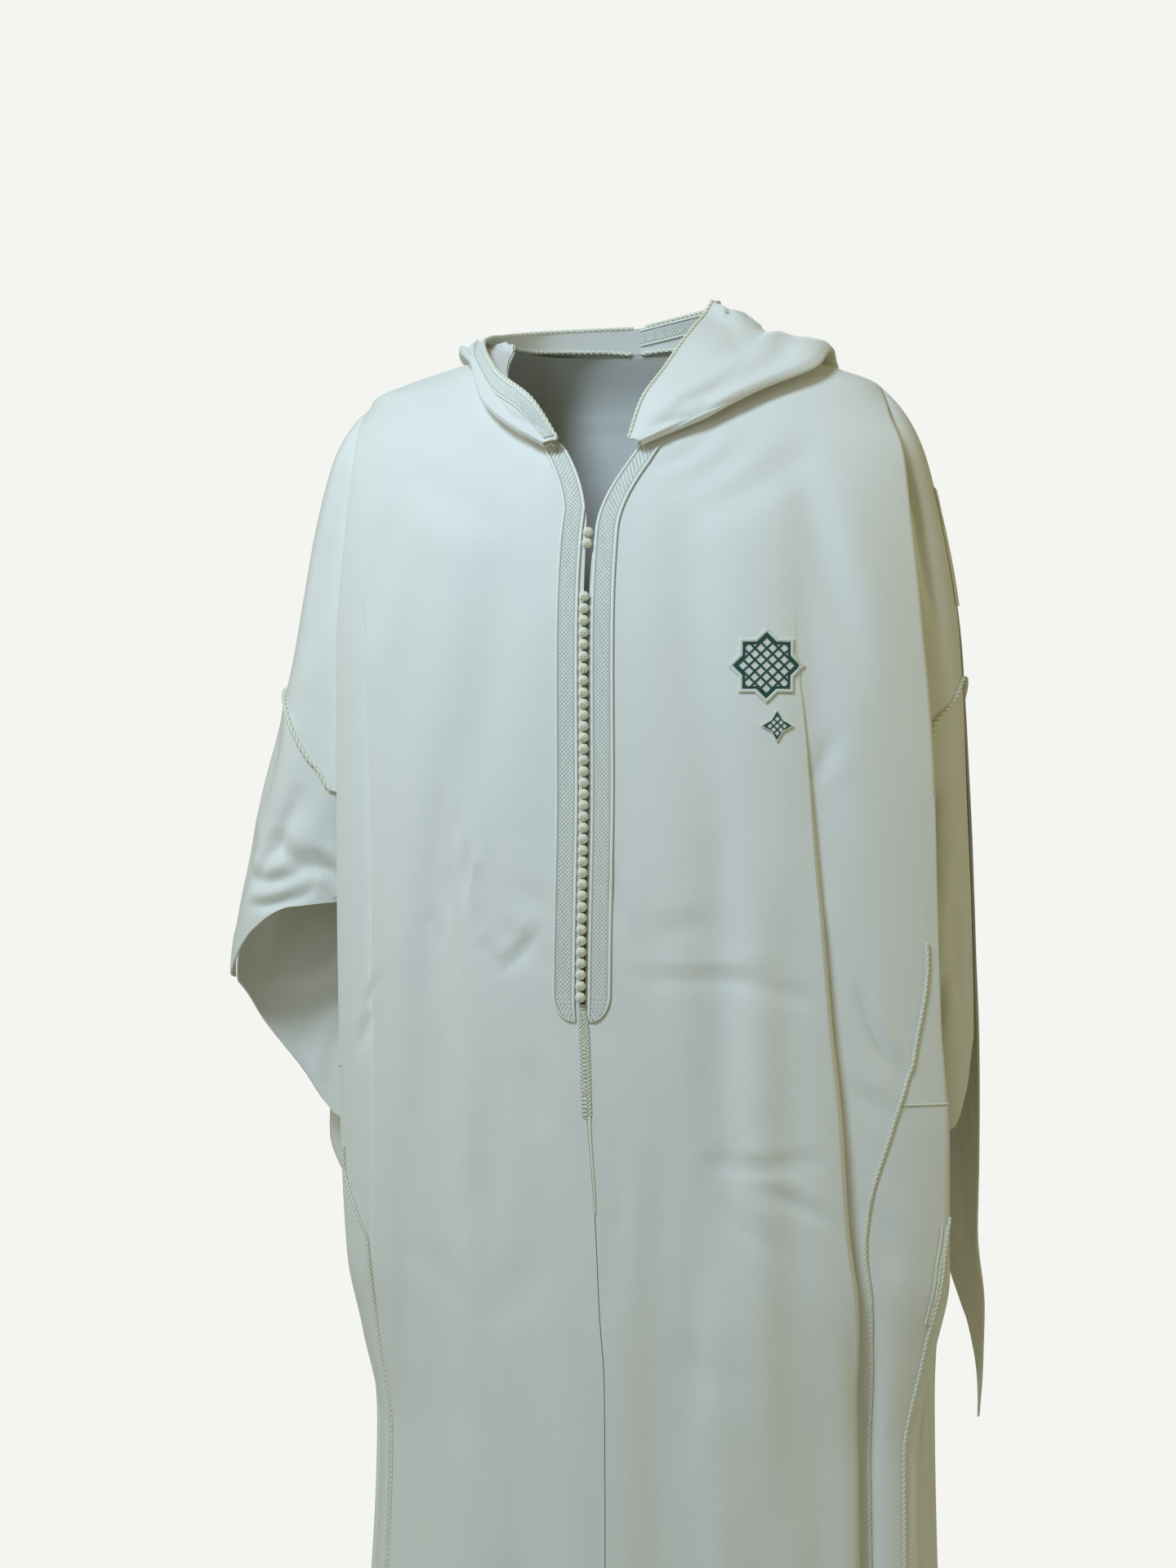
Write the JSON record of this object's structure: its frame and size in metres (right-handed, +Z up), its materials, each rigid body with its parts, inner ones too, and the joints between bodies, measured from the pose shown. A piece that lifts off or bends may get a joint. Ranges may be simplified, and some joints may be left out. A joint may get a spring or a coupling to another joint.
{
  "type": "hooded robe",
  "caption": "Long hooded robe of ivory cloth with a band and knotted placket, wide half sleeves and side gores, hollow as when worn.",
  "frame": {"origin": "midway between the shoulders at the level where the shoulder seams turn down the arms, where the wearer carries the robe", "axes": "+X to the wearer's left, +Y to the back, so the front faces -Y, and +Z up"},
  "size_m": [0.5975, 0.34, 1.458],
  "materials": {
    "ivory_cloth": "matt woven cloth",
    "woven_band": "woven braid",
    "twisted_cord": "silky cord",
    "green_stitching": "stitched thread"
  },
  "bodies": {
    "root": {"front_right": "ivory_cloth", "front_left": "ivory_cloth", "back": "ivory_cloth", "gore_right_front": "ivory_cloth", "gore_left_front": "ivory_cloth", "gore_right_back": "ivory_cloth", "gore_left_back": "ivory_cloth", "sleeve_right": "ivory_cloth", "sleeve_left": "ivory_cloth", "hood_right": "ivory_cloth", "hood_left": "ivory_cloth", "band_right": "woven_band", "band_left": "woven_band", "hood_band_right": "woven_band", "hood_band_left": "woven_band", "centre_braid": "twisted_cord", "arm_trim_right": "twisted_cord", "arm_trim_left": "twisted_cord", "pocket_trim_right": "twisted_cord", "pocket_trim_left": "twisted_cord", "knot_01": "twisted_cord", "knot_02": "twisted_cord", "knot_03": "twisted_cord", "knot_04": "twisted_cord", "knot_05": "twisted_cord", "knot_06": "twisted_cord", "knot_07": "twisted_cord", "knot_08": "twisted_cord", "knot_09": "twisted_cord", "knot_10": "twisted_cord", "knot_11": "twisted_cord", "knot_12": "twisted_cord", "knot_13": "twisted_cord", "knot_14": "twisted_cord", "knot_15": "twisted_cord", "knot_16": "twisted_cord", "knot_17": "twisted_cord", "knot_18": "twisted_cord", "knot_19": "twisted_cord", "knot_20": "twisted_cord", "knot_21": "twisted_cord", "knot_22": "twisted_cord", "knot_23": "twisted_cord", "knot_24": "twisted_cord", "knot_25": "twisted_cord", "knot_26": "twisted_cord", "knot_27": "twisted_cord", "knot_28": "twisted_cord", "knot_29": "twisted_cord", "knot_30": "twisted_cord", "knot_31": "twisted_cord", "knot_32": "twisted_cord", "knot_33": "twisted_cord", "knot_34": "twisted_cord", "knot_35": "twisted_cord", "knot_36": "twisted_cord", "knot_37": "twisted_cord", "knot_38": "twisted_cord", "motif_star": "green_stitching", "motif_drop": "green_stitching"}
  },
  "joints": []
}
